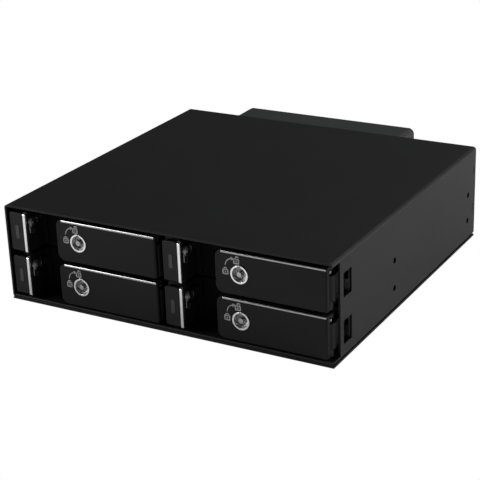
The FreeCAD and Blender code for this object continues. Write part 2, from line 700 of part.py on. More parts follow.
def make_fans():
    """Housing with two grilles, two fan frames and their rotors."""
    rear = case_depth + housing_depth
    housing = new_body("fan_housing")
    left, right = -housing_shift - housing_width / 2, housing_width / 2 - housing_shift
    low, high = housing_drop, case_height - housing_drop
    add(housing, "front", case_depth, rear, polygon(
        (left, low), (right, low), (right, high, housing_corner), (left, high, housing_corner)))
    half = fan_side / 2 + seat_gap / 2
    cut(housing, "front", case_depth, rear - housing_wall,
        rect(left + housing_wall, fan_up - half, right - housing_wall, fan_up + half, seat_gap))
    cut(housing, "front", rear - housing_wall, rear, *fan_screw_circles(fan_screw_radius + pin_gap))
    cut(housing, "front", rear - housing_wall / 2, rear, *fan_screw_circles(fan_head_radius))
    pitch = fan_bore_radius / 5
    for step in range(-4, 5):
        reach = round(math.sqrt(1 - (step / 5) ** 2), 4) * fan_bore_radius - pitch / 3
        level = fan_up + step * pitch
        cut(housing, "front", rear - housing_wall, rear, *[
            rect(across + min(side, 0) * reach + max(side, 0) * pitch / 4, level - pitch / 3,
                 across + max(side, 0) * reach + min(side, 0) * pitch / 4, level + pitch / 3)
            for across in fan_places for side in (-1, 1)])

    frame_rear = rear - housing_wall
    frame_front = frame_rear - fan_depth
    frames = new_body("fan_frames", many=True)
    half = fan_side / 2
    spine = housing_wall
    centres = fan_places
    add(frames, "front", frame_front, frame_rear,
        *[rect(across - half, fan_up - half, across + half, fan_up + half) for across in centres],
        *[circle(across, fan_up, fan_bore_radius) for across in centres],
        *fan_screw_circles(fan_hole_radius))
    add(frames, "front", frame_rear - spine, frame_rear,
        *[circle(across, fan_up, fan_hub_radius) for across in centres])
    reach = fan_bore_radius + spine / 2
    add(frames, "front", frame_rear - spine, frame_rear,
        *[rect(across - reach, fan_up - spine, across + reach, fan_up + spine) for across in centres])
    add(frames, "front", frame_rear - spine, frame_rear,
        *[rect(across - spine, fan_up - reach, across + spine, fan_up + reach) for across in centres])
    bearing = fan_shaft_radius * 2.2
    add(frames, "front", frame_front + fan_depth / 4, frame_rear - spine / 2,
        *[circle(across, fan_up, bearing) for across in centres])
    cut(frames, "front", frame_front + fan_depth / 4, frame_rear - spine / 2,
        *[circle(across, fan_up, fan_shaft_radius + pin_gap) for across in centres])
    for label, across in zip(("fan_rotor_left", "fan_rotor_right"), fan_places):
        make_rotor(label, across, frame_front, spine)


def make_rotor(label, across, frame_front, spine):
    """A cup with a shaft and seven twisted blades, turned about its own axis."""
    rotor = new_body(label, across=across, up=fan_up, depth=frame_front)
    face = turn_gap
    cup_end = fan_depth - spine - turn_gap
    wall = spine
    shaft_end = fan_depth - spine - turn_gap
    turn(rotor, polygon(
        (0.0, face), (fan_hub_radius, face), (fan_hub_radius, cup_end), (fan_hub_radius - wall, cup_end),
        (fan_hub_radius - wall, face + wall), (fan_shaft_radius, face + wall), (fan_shaft_radius, shaft_end),
        (0.0, shaft_end)))
    blade = body_loft(rotor, [
        (fan_hub_radius - 0.7 * wall, blade_section(cup_end / 2, 3.2, 3.3)),
        (fan_tip_radius, blade_section(cup_end / 2, 2.2, 4.4))])
    polar(rotor, blade, fan_blades)


def blade_section(middle, half_depth, half_rise):
    """A thin slanted four-cornered section of a blade."""
    half_thick = 0.35
    return polygon(
        (middle - half_depth, half_rise - half_thick), (middle + half_depth - half_thick, -half_rise),
        (middle + half_depth, -half_rise + half_thick), (middle - half_depth + half_thick, half_rise))


def body_loft(body, sections):
    """Loft through outlines seen from the side, each at its own distance."""
    sketches = [sketch_on(body, "side", at, [loop]) for at, loop in sections]
    feature = body.newObject("PartDesign::AdditiveLoft", f"{body.Label}_loft")
    feature.Profile = sketches[0]
    feature.Sections = sketches[1:]
    feature.Ruled = True
    return feature


def make_carrier(name, across, up):
    """Sheet cradle: floor, two walls and a front flange against the bezel."""
    carrier = new_body(f"{name}_carrier", across, up)
    rear = bezel_depth + carrier_length
    thick = carrier_thick
    add(carrier, "front", bezel_depth, rear, polygon(
        (0.0, 0.0), (tray_width, 0.0), (tray_width, carrier_wall), (tray_width - thick, carrier_wall),
        (tray_width - thick, thick), (thick, thick), (thick, carrier_wall), (0.0, carrier_wall)))
    add(carrier, "front", bezel_depth, bezel_depth + thick, rect(thick, thick, tray_width - thick, carrier_lip))
    drive_end = bezel_depth + thick + slide_gap + drive_length
    middle = tray_width / 2
    holes = [circle(middle + side * drive_row / 2, drive_end - drive_rear_hole - step * drive_hole_pitch,
                    carrier_hole_radius) for side in (-1, 1) for step in (0, 1)]
    bars = 4
    bay = (carrier_length - 4 * rail_width) / bars
    columns = [middle + side * tray_width / 8 for side in (-1, 1)]
    vents = [rect(column - carrier_vent / 2, bezel_depth + 3 * rail_width + step * bay,
                  column + carrier_vent / 2, bezel_depth + 2 * rail_width + (step + 1) * bay)
             for column in columns for step in range(bars)]
    cut(carrier, "top", 0.0, thick, *holes, *vents)
    flanks = [rect(bezel_depth + 3 * rail_width + step * bay, carrier_wall / 2,
                   bezel_depth + 2 * rail_width + (step + 1) * bay, carrier_wall / 2 + carrier_vent)
              for step in range(bars)]
    cut(carrier, "side", 0.0, tray_width, *flanks)
    cut(carrier, "front", bezel_depth, bezel_depth + thick, *bezel_vents(),
        *stake_circles(stake_radius + seat_gap))


def bezel_vents():
    """Air openings through the bezel's back and the cradle's front flange."""
    pitch = tray_width / 8
    return [rect(pitch * (step + 1.7), 2 * bezel_wall, pitch * (step + 2.5), carrier_lip - bezel_wall / 2)
            for step in range(5)]


def stake_circles(radius):
    """Stakes on the back of the bezel that hold the cradle."""
    return [circle(across, carrier_lip / 2, radius) for across in (tray_width / 8, tray_width * 7 / 8)]


def make_bezel(name, across, up):
    """Moulded front with its button well, finger recess, lever pocket and hinge ears."""
    bezel = new_body(f"{name}_front_bezel", across, up)
    back = bezel_depth - bezel_back
    top = tray_height - bezel_wall
    add(bezel, "front", back, bezel_depth, rect(0.0, 0.0, tray_width, tray_height))
    ear_edge = hinge_across - ear_radius
    ear_side = hinge_across + ear_radius / 2
    for low, high in ((0.0, bezel_wall), (top, tray_height)):
        add(bezel, "top", low, high, polygon(
            (0.0, latch_pin_depth), (strip_left, latch_pin_depth), (strip_left, strip_rear),
            (wall_right, strip_rear), (wall_right, back), (0.0, back)))
        add(bezel, "top", low, high, polygon(
            (recess_right, recess_depth), (ear_edge, recess_depth), (ear_edge, hinge_depth),
            (ear_side, hinge_depth), (ear_side, back), (recess_right, back)))
    add(bezel, "side", wall_right, boss_right, rect(arm_end - lever_thick, 0.0, back, tray_height))
    ears = [circle(hinge_across, hinge_depth, ear_radius)]
    root = rect(ear_edge, hinge_depth, ear_side, back)
    ear_low = knuckle_low - turn_gap
    ear_high = top - bezel_wall / 4
    add(bezel, "top", 0.0, ear_low, *ears)
    add(bezel, "top", 0.0, ear_low, root)
    add(bezel, "top", ear_high, tray_height, *ears)
    add(bezel, "top", ear_high, tray_height, root)
    add(bezel, "side", 0.0, bezel_side, rect(latch_pin_depth, 0.0, back, tray_height))
    add(bezel, "side", strip_left, wall_right, rect(strip_rear, 0.0, back, tray_height))
    lug = latch_hub_radius
    lug_front = latch_pin_depth - 2 * latch_pin_radius
    add(bezel, "side", latch_lug_left, latch_lug_left + bezel_side,
        rect(lug_front, latch_pin_up - lug, back, latch_pin_up + lug))
    boss_high = latch_pin_up - coil_radius - turn_gap
    add(bezel, "side", wall_right, wall_right + coil_length,
        rect(latch_pin_depth - latch_pin_radius / 2, boss_high - boss_height,
             latch_pin_depth + 2 * latch_pin_radius, boss_high))
    window_low = latch_pin_up - latch_hook_half - turn_gap
    window_high = latch_pin_up + latch_hook_half + latch_travel_room
    cut(bezel, "side", strip_left, wall_right,
        rect(latch_hook_front - 2 * turn_gap, window_low, latch_hook_rear + 2 * turn_gap, window_high))
    cut(bezel, "side", latch_lug_left, wall_right, circle(latch_pin_depth, latch_pin_up, latch_pin_radius))
    cut(bezel, "top", 0.0, tray_height, circle(hinge_across, hinge_depth, hinge_pin_radius))
    cut(bezel, "front", back, bezel_depth, *bezel_vents(), rect(
        lever_right - 2 * turn_gap, cam_slot_low - turn_gap, tray_width + turn_gap, cam_slot_high + turn_gap))
    add(bezel, "front", bezel_depth, bezel_depth + 2 * carrier_thick, *stake_circles(stake_radius))


def make_lever(name, across, up):
    """Hollow lever with its knuckle, cam arm and tongue, and the bright edge let into it."""
    lever = new_body(f"{name}_lever", across, up)
    face_back = lever_front + lever_thick
    lip = face_back + turn_gap
    side = lever_right - lever_thick * 2 / 3
    add(lever, "top", 0.0, tray_height, polygon(
        (lever_left, lever_front), (lever_right, lever_front, lever_round), (lever_right, lip), (side, lip),
        (side, face_back), (lever_left, face_back)))
    fillet(lever, lever_corner, lambda middle, edge: near(middle.x, lever_left) and
           near(middle.y, lever_front + lever_thick / 2))
    rim_rear = recess_depth - turn_gap
    rim_start = lever_left + lever_corner
    for low, high in ((0.0, bezel_wall), (tray_height - bezel_wall, tray_height)):
        add(lever, "top", low, high, rect(rim_start, face_back, lever_rim_end, rim_rear))
    tongue_rear = bezel_depth - bezel_back - 2.6 * turn_gap
    tongue_front = tongue_rear - lever_thick
    add(lever, "side", lever_left, lever_left + lever_thick,
        rect(face_back, lever_corner, tongue_rear, tray_height - lever_corner))
    add(lever, "side", tongue_left, lever_left + lever_thick,
        rect(tongue_front, -tongue_below, tongue_rear, tray_height + tongue_above))
    ear_room = ear_radius + turn_gap
    cut(lever, "top", 0.0, knuckle_low, circle(hinge_across, hinge_depth, ear_room))
    cut(lever, "top", knuckle_high, tray_height, circle(hinge_across, hinge_depth, ear_room))
    add(lever, "top", knuckle_low, knuckle_high, circle(hinge_across, hinge_depth, knuckle_radius))
    arm_left, cam_tip = hinge_across - arm_thick / 4, hinge_across + knuckle_radius * 2 / 3
    add(lever, "top", arm_low, arm_high, polygon(
        (arm_left, hinge_depth), (arm_left + arm_thick, hinge_depth),
        (arm_left + arm_thick, arm_end - 1.5 * arm_thick), (cam_tip, arm_end - arm_thick), (cam_tip, arm_end),
        (arm_left, arm_end)))
    cut(lever, "top", knuckle_low, knuckle_high, circle(hinge_across, hinge_depth, hinge_pin_radius + pin_gap))
    cut(lever, "front", lever_front, face_back, circle(lock_across, lock_up, lock_body_radius))
    trim_left, trim_right = lever_left + trim_start, lever_right - trim_stop
    trim_low, trim_rear = tray_height - trim_height, lever_front + trim_depth
    cut(lever, "front", lever_front, trim_rear, rect(trim_left, trim_low, trim_right, tray_height))

    trim = new_body(f"{name}_lever_trim", across, up)
    trim_front = lever_front - 0.1
    add(trim, "front", trim_front, trim_rear, rect(trim_left, trim_low, trim_right, tray_height))
    fillet(trim, 0.4 * trim_height, lambda middle, edge: near(middle.y, trim_front) and
           edge.BoundBox.XLength > 10)


def make_lock(name, across, up):
    """Barrel fixed in the lever, and the core that turns in it with its cam."""
    barrel = new_body(f"{name}_lock_barrel", across + lock_across, up + lock_up)
    turn(barrel, polygon(
        (lock_bore_radius, lock_ring_front), (lock_ring_radius, lock_ring_front), (lock_ring_radius, lever_front),
        (lock_body_radius, lever_front), (lock_body_radius, lock_length), (lock_bore_radius, lock_length)))
    cut(barrel, "front", lock_ring_front, lever_front + lever_thick, rect(
        -notch_width / 2, lock_bore_radius - 0.3, notch_width / 2, lock_ring_radius - 0.3))

    core = new_body(f"{name}_lock_core", across + lock_across, up + lock_up)
    core_radius = lock_bore_radius - pin_gap
    cam_front = lock_length + turn_gap
    cam_rear = cam_front + cam_thick
    turn(core, polygon(
        (0.0, 2 * lock_ring_front), (lock_post_radius, 2 * lock_ring_front), (lock_post_radius, lock_well),
        (core_radius, lock_well), (core_radius, cam_front), (0.0, cam_front)))
    add(core, "front", cam_front, cam_rear, polygon(
        (-cam_width / 2, -cam_width / 2), (cam_radius, -cam_width / 4), (cam_radius, cam_width / 4),
        (-cam_width / 2, cam_width / 2)))


def make_latch(name, across, up):
    """Rocking button with its hook, its lamp lens and the strip beside it."""
    latch = new_body(f"{name}_release_latch", across, up)
    face = lever_front
    plate_back = face + button_thick
    hub_left = latch_lug_left + bezel_side + turn_gap
    hub_right = strip_left - turn_gap
    add(latch, "front", face, plate_back, rect(
        button_left, button_margin, button_right, tray_height - button_margin, 0.8))
    add(latch, "side", hub_left, hub_right, rect(
        plate_back, latch_pin_up - latch_hub_radius * 0.7, latch_pin_depth, latch_pin_up + latch_hub_radius * 0.7))
    add(latch, "side", hub_left, hub_right, circle(latch_pin_depth, latch_pin_up, latch_hub_radius))
    low, high = latch_pin_up - latch_hook_half, latch_pin_up + latch_hook_half
    add(latch, "side", hub_left, hub_right, rect(latch_pin_depth, low, latch_hook_rear, high))
    add(latch, "top", low, high, polygon(
        (hub_right, latch_hook_front), (latch_hook_right - 0.8, latch_hook_front),
        (latch_hook_right, latch_hook_rear - 0.7), (latch_hook_right, latch_hook_rear), (hub_right, latch_hook_rear)))
    cut(latch, "side", hub_left, hub_right, circle(latch_pin_depth, latch_pin_up, latch_pin_radius + pin_gap))
    lens = rect(lens_across - lens_width / 2, tray_height / 2 - lens_height / 2,
                lens_across + lens_width / 2, tray_height / 2 + lens_height / 2, 0.3)
    cut(latch, "front", face, face + lens_thick, lens)

    window = new_body(f"{name}_lamp_lens", across, up)
    add(window, "front", face - 0.1, face + lens_thick, lens)

    strip = new_body(f"{name}_bright_strip", across, up)
    add(strip, "front", 0.1, strip_rear,
        rect(strip_left, strip_drop / 2, strip_left + strip_width, tray_height - strip_drop))
    fillet(strip, 0.4 * strip_width, lambda middle, edge: near(middle.y, 0.1))


def make_hardware(name, across, up):
    """Hinge pin and latch pin, and the spring on each."""
    pins = new_body(f"{name}_pins", across, up, many=True)
    add(pins, "top", bezel_wall / 2, tray_height - bezel_wall / 2, circle(hinge_across, hinge_depth, hinge_pin_radius))
    add(pins, "side", latch_lug_left, wall_right + coil_length + 0.2,
        circle(latch_pin_depth, latch_pin_up, latch_pin_radius))

    springs = new_body(f"{name}_springs", across, up, many=True)
    coil_low = wall_right + 0.05
    add(springs, "side", coil_low, coil_low + coil_length,
        circle(latch_pin_depth, latch_pin_up, coil_radius),
        circle(latch_pin_depth, latch_pin_up, coil_radius - 2 * wire))
    hinge_coil = knuckle_high + turn_gap
    add(springs, "top", hinge_coil, hinge_coil + coil_length,
        circle(hinge_across, hinge_depth, hinge_pin_radius + pin_gap + wire),
        circle(hinge_across, hinge_depth, hinge_pin_radius + pin_gap))


make_case()
make_rails()
make_rear()
make_screws()
make_fans()
for tray, (tray_across, tray_up) in trays.items():
    make_carrier(tray, tray_across, tray_up)
    make_bezel(tray, tray_across, tray_up)
    make_lever(tray, tray_across, tray_up)
    make_lock(tray, tray_across, tray_up)
    make_latch(tray, tray_across, tray_up)
    make_hardware(tray, tray_across, tray_up)
document.recompute()

faults = [item.Label for item in document.Objects if {"Invalid", "Error"} & set(item.State)]
for part in parts:
    if part.Shape.isNull() or not part.Shape.isValid() or not part.Shape.Solids:
        faults.append(part.Label)
if faults:
    raise SystemExit("Faulty pieces: " + ", ".join(faults))
os.makedirs("parts", exist_ok=True)
for part in parts:
    part.Shape.exportStep(os.path.join("parts", part.Label + ".step"))
    print(part.Label, len(part.Shape.Solids), "solid(s)", round(part.Shape.Volume, 1), "mm3")
print(len(parts), "pieces")
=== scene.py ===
import json
import math

import bmesh
import bpy
import numpy as np
from mathutils import Matrix, Vector


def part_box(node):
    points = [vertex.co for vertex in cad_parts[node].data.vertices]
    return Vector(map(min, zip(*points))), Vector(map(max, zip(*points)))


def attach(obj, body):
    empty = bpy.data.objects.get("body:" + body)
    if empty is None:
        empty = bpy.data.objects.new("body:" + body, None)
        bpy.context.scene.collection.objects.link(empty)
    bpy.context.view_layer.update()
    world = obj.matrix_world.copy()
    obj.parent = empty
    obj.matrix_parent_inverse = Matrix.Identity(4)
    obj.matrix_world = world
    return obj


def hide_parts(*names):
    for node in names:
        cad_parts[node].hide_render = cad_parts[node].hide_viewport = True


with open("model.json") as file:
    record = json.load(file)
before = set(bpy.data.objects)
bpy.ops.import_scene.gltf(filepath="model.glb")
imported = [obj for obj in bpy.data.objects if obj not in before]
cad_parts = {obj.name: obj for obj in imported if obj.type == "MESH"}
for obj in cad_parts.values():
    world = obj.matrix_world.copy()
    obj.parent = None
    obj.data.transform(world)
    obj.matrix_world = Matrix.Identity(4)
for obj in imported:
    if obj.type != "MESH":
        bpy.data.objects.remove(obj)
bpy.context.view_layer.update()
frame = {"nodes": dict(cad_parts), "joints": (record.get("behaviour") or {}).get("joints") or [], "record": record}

# Hot swap drive cage: four locked trays in a black sheet case, two fans behind.
# Object space is in metres; every size below is in millimetres and is turned into metres by mm.
mm = 0.001
nodes = frame["nodes"]
record = frame["record"]
trays = ("upper_left", "lower_left", "upper_right", "lower_right")
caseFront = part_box("bottom_plate")[0].y / mm
jointPlaces = {row["name"]: np.array(row["pos_m"]) / mm for row in frame["joints"] if "pos_m" in row}
print("frame loaded:", len(nodes), "nodes")


# Shader maths: a Wire is a socket, and an expression on wires adds the Math nodes it needs
class Wire:
    def __init__(self, paint, socket):
        self.paint, self.socket = paint, socket

    def maths(self, operation, *others):
        return self.paint.add("ShaderNodeMath", {"operation": operation}, dict(enumerate((self, *others))))

    def swapped(self, operation, first):
        return self.paint.add("ShaderNodeMath", {"operation": operation}, {0: first, 1: self})

    def __add__(self, other):
        return self.maths("ADD", other)

    def __sub__(self, other):
        return self.maths("SUBTRACT", other)

    def __mul__(self, other):
        return self.maths("MULTIPLY", other)

    def __truediv__(self, other):
        return self.maths("DIVIDE", other)

    def __radd__(self, other):
        return self.swapped("ADD", other)

    def __rsub__(self, other):
        return self.swapped("SUBTRACT", other)

    def __rmul__(self, other):
        return self.swapped("MULTIPLY", other)

    def __rtruediv__(self, other):
        return self.swapped("DIVIDE", other)

    def __lt__(self, other):
        return self.maths("LESS_THAN", other)

    def ramp(self, low, high, start=0.0, stop=1.0):  # smooth step from start to stop between low and high
        return self.paint.add("ShaderNodeMapRange", {"interpolation_type": "SMOOTHSTEP"},
                              {"Value": self, "From Min": low, "From Max": high, "To Min": start, "To Max": stop})


# One material: a Principled shader, its constants on its own sockets, and the nodes that vary it
class Paint:
    def __init__(self, name, **constants):
        self.material = bpy.data.materials.new(name)
        self.material.use_nodes = True
        self.tree = self.material.node_tree
        self.shader = self.tree.nodes["Principled BSDF"]
        for socket, value in constants.items():
            self.shader.inputs[socket.replace("_", " ")].default_value = value
        self.place = self.add("ShaderNodeTexCoord", output="Object")

    def add(self, kind, settings=None, inputs=None, output=0):
        node = self.tree.nodes.new(kind)
        for key, value in (settings or {}).items():
            setattr(node, key, value)
        for key, value in (inputs or {}).items():
            self.feed(node.inputs[key], value)
        return Wire(self, node.outputs[output])

    def feed(self, socket, value):
        if isinstance(value, Wire):
            self.tree.links.new(value.socket, socket)
        else:
            socket.default_value = value

    def noise(self, size, detail=2.0, stretch=(1, 1, 1), rough=0.5):  # soft noise whose blobs are about size mm
        along = self.add("ShaderNodeVectorMath", {"operation": "MULTIPLY"}, {0: self.place, 1: stretch})
        return self.add("ShaderNodeTexNoise", {}, {"Vector": along, "Scale": 1 / (size * mm), "Detail": detail,
                                                   "Roughness": rough})

    def cells(self, size, output="Distance"):  # Voronoi cells of about size mm
        return self.add("ShaderNodeTexVoronoi", {}, {"Vector": self.place, "Scale": 1 / (size * mm)}, output)

    def axis(self, letter):
        return self.add("ShaderNodeSeparateXYZ", {}, {0: self.place}, letter)

    def blend(self, factor, first, second):  # colours
        mixed = self.tree.nodes.new("ShaderNodeMix")
        mixed.data_type = "RGBA"
        for key, value in ((0, factor), (6, first), (7, second)):
            self.feed(mixed.inputs[key], value)
        return Wire(self, mixed.outputs[2])

    def rounded(self, radius):  # normal of the surface with its edges rounded by radius mm
        return self.add("ShaderNodeBevel", {"samples": 4}, {"Radius": radius * mm})

    def wear(self, radius, low=0.02, high=0.2):  # 1 along sharp edges, 0 on flats
        face = self.add("ShaderNodeNewGeometry", output="Normal")
        turned = self.add("ShaderNodeVectorMath", {"operation": "DOT_PRODUCT"}, {0: self.rounded(radius), 1: face},
                          "Value")
        return (1 - turned).ramp(low, high)

    def bump(self, height, strength, distance, normal=None):
        inputs = {"Height": height, "Strength": strength, "Distance": distance * mm}
        if normal is not None:
            inputs["Normal"] = normal
        return self.add("ShaderNodeBump", {}, inputs)

    def set(self, **wires):
        for socket, value in wires.items():
            self.feed(self.shader.inputs[socket.replace("_", " ")], value)


def grey(value, warm=0.0):
    return (value * (1 + warm), value, value * (1 - warm), 1.0)


# Powder coat: fine orange peel, faint mottling, edges rubbed a little brighter
def powderCoat(name, look):
    paint = Paint(name, IOR=look["ior"], Specular_IOR_Level=look["specular"])
    cloud, peel, dust = paint.noise(22, 3), paint.noise(look["peel"], 2), paint.noise(1.3, 4, rough=0.7)
    rubbed = paint.wear(0.35) * paint.noise(2.5, 3).ramp(0.35, 0.65)
    base = paint.blend(cloud, grey(look["dark"], -0.03), grey(look["light"], -0.02))
    base = paint.blend(dust.ramp(0.62, 0.8) * 0.25, base, grey(look["dust"]))
    paint.set(Base_Color=paint.blend(rubbed * look["rub"], base, grey(look["edge"])),
              Roughness=look["rough"] + cloud * 0.08 + dust * 0.05,
              Normal=paint.bump(peel, look["grain"], 0.05, paint.rounded(0.2)))
    return paint.material


# Moulded plastic: spark-eroded grain, glossier where fingers rub the edges, with painted shade that darkens and
# dulls it deep behind the front
def mouldedPlastic(name, look):
    paint = Paint(name, IOR=1.49, Specular_IOR_Level=look["specular"])
    cloud, grain = paint.noise(14, 2), paint.noise(look["grainSize"], 2, rough=0.6)
    near, far = look.get("shade", (400, 401))  # mm behind the case's front; 400 is past the whole object
    # Painted shade: from near to far mm behind the case's front the base colour falls to a third and the surface
    # dulls, standing in for the shade deep inside the case
    paintedShade = (paint.axis("Y") - caseFront * mm).ramp(near * mm, far * mm)
    rubbed = paint.wear(0.3) * (1 - paintedShade)
    base = paint.blend(cloud, grey(look["dark"]), grey(look["light"]))
    base = paint.blend(paintedShade, base, grey(look["dark"] * 0.3))
    paint.set(Base_Color=paint.blend(rubbed * look["rub"], base, grey(look["edge"])),
              Roughness=look["rough"] + cloud * 0.06 - rubbed * 0.08 + paintedShade * 0.4,
              Normal=paint.bump(grain, look["grain"], 0.03, paint.rounded(look["round"])))
    return paint.material


# Plated sheet: zinc spangle under fine rolling lines
def platedSheet(name, look):
    paint = Paint(name, Metallic=1.0)
    spangle = paint.cells(look["spangle"], output="Color")
    tone = paint.add("ShaderNodeSeparateXYZ", {}, {0: spangle}, "X")
    lines = paint.noise(0.25, 2, stretch=(1, 0.02, 1))
    stain = paint.noise(9, 4, rough=0.65)
    base = paint.blend(tone, grey(look["dark"], -0.01), grey(look["light"], -0.01))
    base = paint.blend(stain.ramp(0.55, 0.8) * 0.35, base, grey(look["stain"]))
    paint.set(Base_Color=base, Roughness=look["rough"] + tone * 0.1 + lines * 0.08,
              Normal=paint.bump(lines, 0.15, 0.02, paint.rounded(0.1)))
    return paint.material


# Turned or drawn metal: fine rings or lines, a little tarnish
def brightMetal(name, look):
    paint = Paint(name, Metallic=1.0)
    lines = paint.noise(look["lineSize"], 2, stretch=look["stretch"])
    tarnish = paint.noise(3.0, 4, rough=0.6)
    tint = look.get("tint", (1, 1, 1))
    light = tuple(look["light"] * t for t in tint) + (1.0,)
    dark = tuple(look["dark"] * t for t in tint) + (1.0,)
    paint.set(Base_Color=paint.blend(tarnish.ramp(0.35, 0.75), light, dark),
              Roughness=look["rough"] + lines * look["spread"],
              Normal=paint.bump(lines, look["grain"], 0.01, paint.rounded(look["round"])))
    return paint.material


# Circuit board: solder mask over copper runs, with plated holes
def solderMask(name, look):
    paint = Paint(name, Specular_IOR_Level=0.5, Coat_Roughness=0.15)
    x, z = paint.axis("X"), paint.axis("Z")
    runs = (x / (look["pitch"] * mm)).maths("FRACT")
    steps = (z / (look["pitch"] * 7 * mm)).maths("FRACT")
    copper = (runs < 0.45) * (paint.noise(7, 0).ramp(0.48, 0.52)) * (steps < 0.86)
    holes = (paint.cells(3.1) < 0.16)
    base = paint.blend(copper, look["mask"], look["run"])
    paint.set(Base_Color=paint.blend(holes, base, look["plating"]),
              Roughness=0.38 - copper * 0.08, Metallic=holes * 0.9, Coat_Weight=0.4 - holes * 0.4,
              Normal=paint.bump(copper + holes * 0.6, 0.3, 0.03))
    return paint.material


def smokedLens(name, look):
    paint = Paint(name, IOR=1.52, Coat_Roughness=0.08, Specular_IOR_Level=0.5)
    haze = paint.noise(1.2, 2)
    paint.set(Base_Color=paint.blend(haze, grey(look["dark"]), grey(look["light"])), Roughness=0.34 + haze * 0.1,
              Coat_Weight=0.1 + haze * 0.1, Normal=paint.bump(haze, 0.05, 0.02, paint.rounded(0.15)))
    return paint.material


def printedInk(name, look):
    paint = Paint(name, Specular_IOR_Level=0.3)
    worn = paint.noise(0.35, 3, rough=0.7)
    paint.set(Base_Color=paint.blend(worn.ramp(0.35, 0.6), grey(look["thin"]), grey(look["full"])),
              Roughness=0.6 + worn * 0.15)
    return paint.material


caseLook = {"dark": 0.0052, "light": 0.0076, "dust": 0.018, "edge": 0.04, "rub": 0.5, "rough": 0.42, "grain": 0.35,
            "peel": 0.45, "ior": 1.5, "specular": 0.24}
housingLook = dict(caseLook, dark=0.026, light=0.032, edge=0.06, peel=0.6, rough=0.5)
openPlastic = {"rub": 0.5, "edge": 0.03, "rough": 0.45, "grainSize": 0.16, "grain": 0.3, "round": 0.15,
               "specular": 0.25}
# shade gives where the painted shade deep in the case starts and where it is full, in mm behind the front
bezelLook = dict(openPlastic, dark=0.010, light=0.014, edge=0.02, shade=(4.5, 12.0))
leverLook = dict(bezelLook, dark=0.0065, light=0.0085, edge=0.05, round=0.25, specular=0.18)
fanLook = dict(openPlastic, dark=0.010, light=0.014, rough=0.38)
plugLook = dict(openPlastic, dark=0.012, light=0.018, grainSize=0.1)
screwLook = {"light": 0.62, "dark": 0.42, "rough": 0.26, "spread": 0.14, "grain": 0.2, "round": 0.08,
             "lineSize": 0.12, "stretch": (1, 1, 1)}
trimLook = {"light": 0.97, "dark": 0.88, "rough": 0.08, "spread": 0.04, "grain": 0.1, "round": 0.15,
            "lineSize": 0.1, "stretch": (0.04, 1, 1)}
boardLook = {"mask": (0.004, 0.05, 0.018, 1), "run": (0.012, 0.11, 0.04, 1), "plating": (0.75, 0.62, 0.32, 1),
             "pitch": 0.9}

paints = {
    "black_case": powderCoat("powderBlack", caseLook),
    "grey_housing": powderCoat("housingGrey", housingLook),
    "bezel_black": mouldedPlastic("bezelPlastic", bezelLook),
    "lever_black": mouldedPlastic("leverPlastic", leverLook),
    "button_black": mouldedPlastic("buttonPlastic", dict(leverLook, dark=0.009, light=0.012, specular=0.22)),
    "fan_black": mouldedPlastic("fanPlastic", fanLook),
    "plug_black": mouldedPlastic("plugPlastic", plugLook),
    "port_black": mouldedPlastic("portPlastic", dict(plugLook, rough=0.4)),
    "carrier_steel": platedSheet("platedSheet", {"spangle": 2.2, "dark": 0.36, "light": 0.5, "stain": 0.3,
                                                 "rough": 0.3}),
    "board_green": solderMask("solderMask", boardLook),
    "brass_standoff": brightMetal("turnedBrass", dict(screwLook, tint=(1.1, 0.82, 0.38))),
    "zinc_screw": brightMetal("zincPlate", screwLook),
    "dark_screw": brightMetal("blackOxide", dict(screwLook, light=0.06, dark=0.03, rough=0.34)),
    "bright_trim": brightMetal("brightTrim", trimLook),
    "lock_chrome": brightMetal("lockChrome", dict(trimLook, rough=0.12, stretch=(1, 1, 1))),
    # Lock steel is set darker than the other steel as painted shade for the inside of the key well
    "lock_steel": brightMetal("lockSteelPaintedShade", dict(screwLook, light=0.32, dark=0.2, rough=0.34)),
    "pin_steel": brightMetal("groundPin", dict(screwLook, light=0.5, dark=0.36, rough=0.26)),
    "spring_steel": brightMetal("springWire", dict(screwLook, light=0.34, dark=0.22, rough=0.3)),
    "lens_smoke": smokedLens("smokedLens", {"dark": 0.018, "light": 0.028}),
    "print_grey": printedInk("printedInk", {"thin": 0.15, "full": 0.42}),
}
# The lever trims get a darker copy of the bright trim: painted shade for their dimmer reflection
shadedLeverTrimPaint = brightMetal("leverTrimPaintedShade", dict(trimLook, light=0.46, dark=0.38))
goldPaint = brightMetal("goldContact", dict(screwLook, light=0.8, dark=0.7, tint=(1.1, 0.85, 0.42)))

# Each CAD node takes its slot's paint, but the lever trims take the painted-shade copy of the bright trim
for row in record["subparts"]:
    materialSlots = nodes[row["node"]].data.materials
    materialSlots.clear()
    materialSlots.append(shadedLeverTrimPaint if row["node"].endswith("lever_trim") else paints[row["material_slot"]])
print("materials made:", len(bpy.data.materials))


# Faces of a grid of rows by columns points, as index quads; closed ways wrap round
def gridFaces(rows, columns, closeRows=False, closeColumns=False):
    row = np.arange(rows if closeRows else rows - 1)[:, None]
    column = np.arange(columns if closeColumns else columns - 1)[None, :]
    nextRow, nextColumn = (row + 1) % rows * columns, (column + 1) % columns
    row = row * columns
    return np.stack(np.broadcast_arrays(row + column, row + nextColumn, nextRow + nextColumn, nextRow + column),
                    -1).reshape(-1, 4).tolist()


# A closed pipe of points: rings of columns points, with a flat cap on each end
def pipe(points):
    rows, columns = points.shape[:2]
    caps = [list(range(columns)), list(range((rows - 1) * columns, rows * columns))]
    return points.reshape(-1, 3), gridFaces(rows, columns, closeColumns=True) + caps


